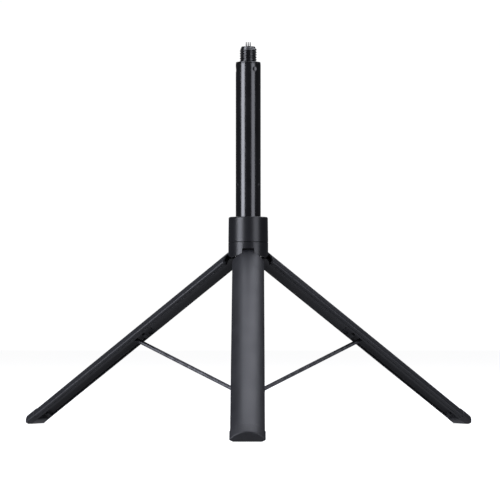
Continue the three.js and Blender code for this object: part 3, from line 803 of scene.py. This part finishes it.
def collar_body_mesh():
    """A ring whose lower edge rises in an arch with a square slot over each leg."""
    half = [("slot", share) for share in (0.0, 0.35, 0.7, 0.9, 1.0)]
    half += [("skirt", share) for share in (0.0, 0.02)]
    half += [("skirt", 0.06 + 0.94 * step / 18) for step in range(19)]

    def section(zone, share, side):
        """The ring's closed section at one place round half a sector."""
        def edge_at(radius):
            if zone == "slot":
                return math.asin(SLOT_HALF / radius) * share, SLOT_TOP
            first = math.asin((SLOT_HALF + SLOT_EDGE) / radius)
            angle = first + (LEG_SECTOR - first) * share
            return angle, skirt_edge(radius * math.sin(angle))

        low = edge_at(COLLAR_RADIUS)[1]
        corners = [(COLLAR_BORE, low, 0.4), (COLLAR_RADIUS, low, 0.55),
                   (COLLAR_RADIUS, SEAM_LOW, 0.4), (COLLAR_BORE, SEAM_LOW, 0.3)]
        loop = []
        for radius, z in rounded(corners, 4):
            angle, edge = edge_at(radius)
            height = edge + (z - low) * (SEAM_LOW - edge) / (SEAM_LOW - low)
            loop.append(Vector((side * radius * math.sin(angle), -radius * math.cos(angle), height)))
        return loop

    loops = []
    for leg in LEGS:
        turn = Matrix.Rotation(LEG_AZIMUTHS[leg], 4, "Z")
        sector = [section(zone, share, -1) for zone, share in reversed(half[1:])][1:]
        sector += [section(zone, share, 1) for zone, share in half]
        loops += [[turn @ point for point in loop] for loop in sector]
    return ring_of("collar_body", loops)


def collar_cap_mesh():
    lip = COLLAR_TOP - COLLAR_LIP
    corners = [(BUSH_CHAMBER_RADIUS, SEAM_HIGH, 0.2), (COLLAR_RADIUS, SEAM_HIGH, 0.15),
               (COLLAR_RADIUS - 0.3, COLLAR_TOP, 1.3), (COLLAR_BORE, COLLAR_TOP, 0.45),
               (COLLAR_BORE, lip, 0.1), (BUSH_CHAMBER_RADIUS, lip, 0.1)]
    return turned("collar_cap", rounded(corners, 6), 128)


def collar_cuts():
    """The cross holes of the hinge pins, and the screws' holes with their counterbores."""
    cuts = []
    half_hole = HINGE_PIN_LENGTH / 2 + 0.1
    for leg in LEGS:
        turn = Matrix.Rotation(LEG_AZIMUTHS[leg], 4, "Z")
        pin = across(rod("cut", HINGE_PIN_RADIUS + 0.15, -half_hole, half_hole, 0.05),
                     -HINGE_RADIUS, HINGE_Z)
        cuts.append(moved(pin, turn))
        seat = rod("cut", COLLAR_SCREW_HEAD + GAP, SKIRT_BOTTOM - 4, COLLAR_SCREW_SEAT + GAP, 0.05)
        hole = rod("cut", COLLAR_SCREW_SHANK + GAP, COLLAR_SCREW_SEAT, SEAM_HIGH + 1, 0.05)
        for tool in (seat, hole):
            cuts.append(moved(tool, turn @ Matrix.Translation((0, COLLAR_SCREW_RADIUS, 0))))
    return cuts


def collar_bush_mesh():
    outer, low, high = node_sizes("collar_bush")
    inner = TUBE_RADIUS + GAP
    corners = [(inner, low, 0.3), (outer, low, 0.2), (outer, high, 0.2), (inner, high, 0.3)]
    return turned("collar_bush", rounded(corners, 3), 96)


def collar_screw_mesh():
    low, high = node_sizes("collar_screw_1")[1:]
    screw = screw_mesh("collar_screw", COLLAR_SCREW_HEAD, 1.6, COLLAR_SCREW_SHANK, low, high,
                       recess=0.95)
    return moved(screw, Matrix.Translation((0, COLLAR_SCREW_RADIUS, 0)))


def make_collar():
    body = combined("collar_body", collar_body_mesh(), cuts=collar_cuts())
    for node, mesh, material in (("collar_cap", collar_cap_mesh(), COLLAR_PLASTIC),
                                 ("collar_body", body, COLLAR_PLASTIC),
                                 ("collar_bush", collar_bush_mesh(), NYLON)):
        place(node, mesh, material, "collar", MAST_FRAME)

    half_pin = HINGE_PIN_LENGTH / 2
    pin = across(rod("hinge_pin", HINGE_PIN_RADIUS, -half_pin, half_pin, 0.3), -HINGE_RADIUS, HINGE_Z)
    screw = collar_screw_mesh()
    for index, leg in enumerate(LEGS):
        place(f"hinge_pin_{leg}", pin, DARK_STEEL, "collar", azimuth_frame(leg))
        place(f"collar_screw_{index + 1}", screw, DARK_STEEL, "collar", azimuth_frame(leg))


# ------------------------ legs


def crown_drop(x):
    """How far a leg's rounded top drops at a distance across the leg."""
    return x * x / (2 * CROWN_CURVE)


def cover_outline():
    """Outer skin with rounded corners, whose edges turn in as lips."""
    inner = LEG_RADIUS - COVER_WALL
    edge = side_angle(LEG_RADIUS)
    lip_end = side_angle(LIP_RADIUS) - LIP_WIDTH / LIP_RADIUS
    trim = LEG_CORNER / LEG_RADIUS * 1.4
    side = [(*on_arc(LEG_RADIUS, edge), LEG_CORNER),
            (*on_arc(LIP_RADIUS, side_angle(LIP_RADIUS)), 0.45),
            (*on_arc(LIP_RADIUS, lip_end), 0.4),
            (*on_arc(inner, side_angle(inner) - LIP_WIDTH / LIP_RADIUS), 0.4)]
    corners = arc(LEG_RADIUS, -edge + trim, edge - trim, 36) + side
    corners += arc(inner, edge - 0.2, -edge + 0.2, 28)
    corners += [(-x, y, r) for x, y, r in reversed(side)]
    return anticlockwise(rounded(corners, 6))


def leg_cover_mesh():
    """The outer shell, with the tab that carries the hinge's knuckle."""
    skin = drawn("leg_cover", cover_outline(), -COVER_END_U, -CROWN_U, edge=0.35, steps=4,
                 top_drop=crown_drop,
                 levels=[-COVER_END_U + step * (COVER_END_U - 20) / 24 for step in range(1, 24)])
    half = KNUCKLE_WIDTH / 2
    tab_outline = [(-2.4, -9.0, 0.3), (-0.2, -9.0, 0.3), (-0.2, -4.2, 0.6), (1.6, -3.2, 0.6),
                   (1.9, 0.4, 0.5), (-2.4, 0.4, 0.5)]
    tab = drawn_across("tab", rounded(tab_outline, 3), -half, half)
    knuckle = across(rod("knuckle", KNUCKLE_RADIUS, -half, half, 0.35, 48))
    hole = across(rod("hole", HINGE_PIN_RADIUS + GAP, -half - 1, half + 1, 0.05))
    return combined("leg_cover", skin, joins=[tab, knuckle], cuts=[hole])


def rail_side():
    """Corners of the right rail's outer side, stepped to sit behind the cover's lip."""
    outer = LEG_RADIUS - COVER_WALL - GAP
    shelf = LIP_RADIUS - GAP
    lip_turn = (LIP_WIDTH + GAP) / LIP_RADIUS
    outer_angle = math.asin(CHANNEL_HALF / outer)
    corners = [(*on_arc(CRADLE_RADIUS, side_angle(CRADLE_RADIUS)), 0.45),
               (*on_arc(shelf, side_angle(shelf)), 0.3),
               (*on_arc(shelf, side_angle(shelf) - lip_turn), 0.25),
               (*on_arc(outer, side_angle(outer) - lip_turn), 0.25)]
    corners += arc(outer, side_angle(outer) - lip_turn, outer_angle, 8)[1:-1]
    corners += [(*on_arc(outer, outer_angle), 0.25)]
    return corners


def rail_outline(side):
    """One side rail of the inner moulding, below the end of the cradle."""
    inner_angle = math.asin(CHANNEL_HALF / CRADLE_RADIUS)
    corners = [(*on_arc(CRADLE_RADIUS, inner_angle), 0.3)]
    corners += arc(CRADLE_RADIUS, inner_angle, side_angle(CRADLE_RADIUS), 10)[1:-1]
    corners += rail_side()
    outline = anticlockwise(rounded([(side * x, y, r) for x, y, r in corners], 3))
    return inset(outline, 0.02)


def rail_hollow(side):
    """The moulding hollow in a rail, open towards the folded mast and the channel."""
    outer = LEG_RADIUS - COVER_WALL - GAP - RAIL_WALL
    wall = side_angle(CRADLE_RADIUS) - RAIL_WALL / CRADLE_RADIUS
    inner_angle = math.asin((CHANNEL_HALF - 1) / outer)
    corners = arc(outer, inner_angle, wall - 0.1, 8) + [(*on_arc(outer - 0.6, wall), 0.6)]
    corners += arc(CRADLE_RADIUS - 1, wall, inner_angle, 8)
    return anticlockwise(rounded([(side * x, y, r) for x, y, r in corners], 3))


def cradle_outline():
    """The inner moulding where its two rails are joined by the cradle."""
    back = CRADLE_RADIUS + LINER_WALL
    back_angle = math.asin(CHANNEL_HALF / back)
    side = rail_side()
    corners = arc(CRADLE_RADIUS, -side_angle(CRADLE_RADIUS), side_angle(CRADLE_RADIUS), 32)[1:-1]
    corners += side + [(*on_arc(back, back_angle), 0.5)]
    corners += arc(back, back_angle, -back_angle, 12)[1:-1]
    corners += [(*on_arc(back, -back_angle), 0.5)] + [(-x, y, r) for x, y, r in reversed(side)]
    return anticlockwise(rounded(corners, 3))


def outward(mesh, angle):
    """Turns a mesh made along Z to point outwards from the folded mast at a bracket screw."""
    lie = Matrix.Rotation(math.pi / 2, 4, "X")
    shift = Matrix.Translation((0, HINGE_RADIUS, -BRACKET_SCREW_U))
    return moved(mesh, shift @ Matrix.Rotation(angle, 4, "Z") @ lie)


def screw_hole(radius, low, high, angle):
    return outward(rod("hole", radius, low, high, 0.05, 24), angle)


def leg_core_mesh():
    """The inner moulding: cradle, hollow rails, ribs, and the tongue that holds the foot."""
    outer = LEG_RADIUS - COVER_WALL - GAP
    rib_angle = math.asin((CHANNEL_HALF + 0.5) / outer)
    rails = [drawn("rail", rail_outline(side), -COVER_END_U, -LINER_END_U + 1, 0.2)
             for side in (-1, 1)]
    cradle = drawn("cradle", cradle_outline(), -LINER_END_U, -CORE_TOP_U, 0.25,
                   top_drop=crown_drop, levels=[-LINER_END_U + 20, -40])
    ribs = [drawn("rib", band(outer - 0.85, outer - 0.05, rib_angle, 0.15, 6),
                  -u - RIB_THICKNESS, -u, 0.12) for u in RIB_US]
    tongue = drawn("tongue", band(TONGUE_INNER, TONGUE_OUTER, TONGUE_ANGLE),
                   -TONGUE_END_U, -COVER_END_U + 0.6, 0.3)
    pocket_band = band(CRADLE_RADIUS - 2, SADDLE_RADIUS + GAP, SADDLE_ANGLE + 1.5 * DEGREE)
    pocket = drawn("pocket", pocket_band, -SADDLE_END_U - GAP, -SADDLE_TOP_U + GAP, 0.05, 1)
    holes = [screw_hole(BRACKET_SCREW_SHANK + GAP, SADDLE_RADIUS, outer - 0.3,
                        side * BRACKET_SCREW_ANGLE) for side in (-1, 1)]
    hollows = [drawn("hollow", rail_hollow(side), -RAIL_HOLLOW_END_U, -RAIL_HOLLOW_TOP_U, 0.3)
               for side in (-1, 1)]
    return combined("leg_core", cradle, joins=[*rails, *ribs, tongue],
                    cuts=[pocket, *holes, *hollows])


def strut_bracket_mesh():
    """A saddle across the leg core, and two cheeks with the strut's pin between them."""
    slot = STRUT_WIDTH / 2 + 0.45
    opening_floor = HINGE_RADIUS - 16.5
    outer = LEG_RADIUS - COVER_WALL - GAP
    saddle = drawn("saddle", band(CRADLE_RADIUS, SADDLE_RADIUS, SADDLE_ANGLE, 0.35),
                   -SADDLE_END_U, -SADDLE_TOP_U, 0.3)
    cheek_band = band(CRADLE_RADIUS + GAP, outer, math.asin(BRACKET_CHEEK / outer), 0.5, 8)
    cheeks = drawn("cheeks", cheek_band, -BRACKET_END_U, -SADDLE_END_U + 2, 0.4)
    opening = [(opening_floor, -BRACKET_END_U - 1, 0), (HINGE_RADIUS, -BRACKET_END_U - 1, 0),
               (HINGE_RADIUS, -SADDLE_END_U, 0), (opening_floor, -SADDLE_END_U, 1.2)]
    opening = drawn_across("opening", rounded(opening, 4), -slot, slot, 0.05)
    half_hole = BRACKET_CHEEK + 1
    pin_hole = across(rod("hole", STRUT_PIN_RADIUS + GAP, -half_hole, half_hole, 0.05),
                      HINGE_RADIUS - PIVOT_N, -PIVOT_U)
    cuts = [opening, pin_hole]
    for side in (-1, 1):
        angle = side * BRACKET_SCREW_ANGLE
        cuts.append(screw_hole(BRACKET_SCREW_SHANK + GAP, 12, outer, angle))
        cuts.append(screw_hole(BRACKET_SCREW_HEAD + GAP, 12, BRACKET_SCREW_SEAT, angle))
    return combined("strut_bracket", saddle, joins=[cheeks], cuts=cuts)


def bracket_screw_mesh(side):
    head_height = 0.8
    low = BRACKET_SCREW_SEAT - GAP - head_height
    screw = screw_mesh("bracket_screw", BRACKET_SCREW_HEAD, head_height, BRACKET_SCREW_SHANK, low,
                       BRACKET_SCREW_END, recess=0.8)
    return outward(screw, side * BRACKET_SCREW_ANGLE)


def foot_mesh():
    """A rubber cap over the leg's end, cut level where it stands on the floor."""
    inner = CRADLE_RADIUS + 0.1
    edge = side_angle(FOOT_RADIUS)
    heel = HINGE_RADIUS - FOOT_HEEL_N
    heel_half = on_arc(inner, side_angle(inner))[0]
    outer_arc = [(*on_arc(FOOT_RADIUS, -edge), FOOT_CORNER),
                 *arc(FOOT_RADIUS, -edge + 0.12, edge - 0.12, 32),
                 (*on_arc(FOOT_RADIUS, edge), FOOT_CORNER)]
    heels = [(heel_half, heel, FOOT_CORNER), (-heel_half, heel, FOOT_CORNER)]
    filled = rounded(outer_arc + heels, 5)
    inner_arc = arc(inner, side_angle(inner), -side_angle(inner), 20)
    rim = rounded(outer_arc + inner_arc, 5)
    solid = drawn("foot", filled, -LEG_END_U, -FOOT_TOP_U - 2, FOOT_CHAMFER, 1)
    ring = drawn("rim", rim, -LEG_END_U + FOOT_CHAMFER, -FOOT_TOP_U, 0.3, 3)
    socket_band = band(TONGUE_INNER - GAP, TONGUE_OUTER + GAP, TONGUE_ANGLE + 1.5 * DEGREE)
    socket = drawn("socket", socket_band, -TONGUE_END_U - GAP, -FOOT_TOP_U + 1, 0.05, 1)
    block_half, block_end, block_depth = 40, 400, 60
    corners = [(-block_half, 10), (block_half, 10), (block_half, block_end), (-block_half, block_end)]
    floor = drawn("floor", corners, -block_depth, 0, 0.01, 1)
    to_leg = Matrix.Rotation(LEG_SPREAD, 4, "X") @ Matrix.Translation((0, HINGE_RADIUS, -HINGE_Z))
    moved(floor, to_leg @ Matrix.Rotation(math.pi, 4, "Z"))
    return combined("foot", solid, joins=[ring], cuts=[floor, socket])


def make_legs():
    cover, core, foot = leg_cover_mesh(), leg_core_mesh(), foot_mesh()
    bracket = strut_bracket_mesh()
    screws = {"a": bracket_screw_mesh(-1), "b": bracket_screw_mesh(1)}
    pin = across(rod("strut_pin", STRUT_PIN_RADIUS, -BRACKET_CHEEK, BRACKET_CHEEK, 0.25),
                 HINGE_RADIUS - PIVOT_N, -PIVOT_U)
    parts = (("leg_cover", cover, SHELL), ("leg_core", core, CORE_PLASTIC), ("foot", foot, RUBBER),
             ("strut_bracket", bracket, DARK_STEEL), ("strut_pin", pin, DARK_STEEL))
    for leg in LEGS:
        body, matrix = f"leg_{leg}", leg_frame(leg)
        for kind, mesh, material in parts:
            place(f"{kind}_{leg}", mesh, material, body, matrix)
        for letter, mesh in screws.items():
            place(f"bracket_screw_{leg}_{letter}", mesh, DARK_STEEL, body, matrix)


# ------------------------ struts


def strut_mesh():
    """A forged bar with half-round ends, drawn along Z below its upper pin."""
    half_width, half_thick = STRUT_WIDTH / 2, STRUT_THICKNESS / 2
    steps = 8
    turns = [math.pi / 2 * step / steps for step in range(steps)]
    end = [(half_thick * math.cos(turn), max(0.12, math.sin(turn))) for turn in turns]
    lengths = end + [(-STRUT_LENGTH * step / 12, 1.0) for step in range(13)]
    lengths += [(-STRUT_LENGTH - z, share) for z, share in reversed(end)]
    rings = []
    for z, share in lengths:
        thick = half_thick * share
        corner = min(1.15, thick * 0.72)
        section = rounded([(-half_width, -thick, corner), (half_width, -thick, corner),
                           (half_width, thick, corner), (-half_width, thick, corner)], 5)
        rings.append([(point.x, point.y, z) for point in section])
    bar = lofted("strut", rings)
    half_hole = half_width + 1
    holes = [across(rod("hole", STRUT_PIN_RADIUS + 0.25, -half_hole, half_hole, 0.05), 0, z)
             for z in (0, -STRUT_LENGTH)]
    return combined("strut", bar, cuts=holes)


def make_struts():
    """Each strut carries the pin that sits in the hub's ears when the stand is open."""
    bar = strut_mesh()
    pin = across(rod("hub_pin", STRUT_PIN_RADIUS, -EAR_OUTER, EAR_OUTER, 0.25), 0, -STRUT_LENGTH)
    for leg in LEGS:
        body, matrix = f"strut_{leg}", strut_frame(leg)
        place(f"strut_{leg}", bar, DARK_STEEL, body, matrix)
        place(f"hub_pin_{leg}", pin, DARK_STEEL, body, matrix)


# ------------------------ stage and light

LIGHT_TINT = (0.88, 0.9, 1.0)
LIGHT_AIM_Z = 0.18
FLOOR_HALF = 6.0
FLOOR_Z = -0.0002
ROOM_RADIUS = 14.0
# The world's light, by the height of a direction: FLOOR_GLOW at WORLD_LOW and below, and
# ROOM_GLOW at WORLD_HIGH and above.
WORLD_LOW, FLOOR_GLOW = -0.35, 0.45
WORLD_HIGH, ROOM_GLOW = 0.0, 0.08


def staged(name, mesh, material):
    """A part of the stage: seen by the camera, but lighting nothing."""
    mesh.materials.append(material)
    obj = added(name, mesh)
    obj.visible_diffuse = False
    obj.visible_glossy = False
    obj.visible_transmission = False
    obj.visible_volume_scatter = False
    return obj


def make_floor():
    """A pale floor that shows the stand's shadows."""
    material = bpy.data.materials.new("floor_paper")
    material.use_nodes = True
    paint = material.node_tree.nodes["Principled BSDF"]
    paint.inputs["Base Color"].default_value = (0.5, 0.5, 0.5, 1)
    paint.inputs["Roughness"].default_value = 1.0
    paint.inputs["Specular IOR Level"].default_value = 0.0
    paint.inputs["Emission Color"].default_value = (1, 1, 1, 1)
    paint.inputs["Emission Strength"].default_value = 0.93
    mesh = bpy.data.meshes.new("floor")
    corners = [(-1, -1), (1, -1), (1, 1), (-1, 1)]
    mesh.from_pydata([(x * FLOOR_HALF, y * FLOOR_HALF, FLOOR_Z) for x, y in corners], [], [(0, 1, 2, 3)])
    staged("floor", mesh, material)


def make_room():
    """A white room round everything, which casts no shadow."""
    material = bpy.data.materials.new("white_room")
    material.use_nodes = True
    tree = material.node_tree
    tree.nodes.clear()
    glow = tree.nodes.new("ShaderNodeEmission")
    glow.inputs["Strength"].default_value = 1.02
    output = tree.nodes.new("ShaderNodeOutputMaterial")
    tree.links.new(glow.outputs[0], output.inputs[0])
    work = bmesh.new()
    bmesh.ops.create_icosphere(work, subdivisions=3, radius=ROOM_RADIUS)
    mesh = bpy.data.meshes.new("room")
    work.to_mesh(mesh)
    work.free()
    room = staged("room", mesh, material)
    room.visible_shadow = False


def make_world():
    """Light from all round, brighter from below, where the pale floor would send it back."""
    world = bpy.data.worlds.new("world")
    bpy.context.scene.world = world
    world.use_nodes = True
    tree = world.node_tree
    background = tree.nodes["Background"]
    background.inputs["Color"].default_value = (*LIGHT_TINT, 1)
    split = tree.nodes.new("ShaderNodeSeparateXYZ")
    tree.links.new(tree.nodes.new("ShaderNodeTexCoord").outputs["Generated"], split.inputs[0])
    ramp = tree.nodes.new("ShaderNodeMapRange")
    for index, value in enumerate((WORLD_LOW, WORLD_HIGH, FLOOR_GLOW, ROOM_GLOW)):
        ramp.inputs[1 + index].default_value = value
    tree.links.new(split.outputs["Z"], ramp.inputs[0])
    tree.links.new(ramp.outputs[0], background.inputs["Strength"])


def soft_box(name, azimuth, elevation, distance, width, height, radiance):
    """A soft light seen from the stick at an azimuth (from the front towards +X) and elevation.

    The distance and the two sizes are in metres.
    """
    data = bpy.data.lights.new(name, "AREA")
    data.shape = "RECTANGLE"
    data.size = width
    data.size_y = height
    data.energy = radiance * math.pi * width * height
    data.color = LIGHT_TINT
    light = added(name, data)
    a, e = azimuth * DEGREE, elevation * DEGREE
    centre = Vector((MAST_AXIS.x * MM, MAST_AXIS.y * MM, LIGHT_AIM_Z))
    away = Vector((math.sin(a) * math.cos(e), -math.cos(a) * math.cos(e), math.sin(e)))
    light.location = centre + away * distance
    light.rotation_mode = "QUATERNION"
    light.rotation_quaternion = (-away).to_track_quat("-Z", "Y")
    light.visible_camera = False


def make_lights():
    """Two tall boxes that make the tube's two highlights, and one above and behind."""
    soft_box("left_light", -50, 8, distance=1.6, width=0.9, height=2.0, radiance=8.5)
    soft_box("right_light", 46, 8, distance=1.6, width=0.9, height=2.0, radiance=3.35)
    soft_box("top_light", 166, 66, distance=1.8, width=1.7, height=1.6, radiance=3.3)


# ------------------------ build

make_floor()
make_room()
make_world()
make_lights()
bpy.context.scene.view_settings.view_transform = "Standard"
make_collar()
make_mast()
make_sections()
make_head()
make_legs()
make_struts()
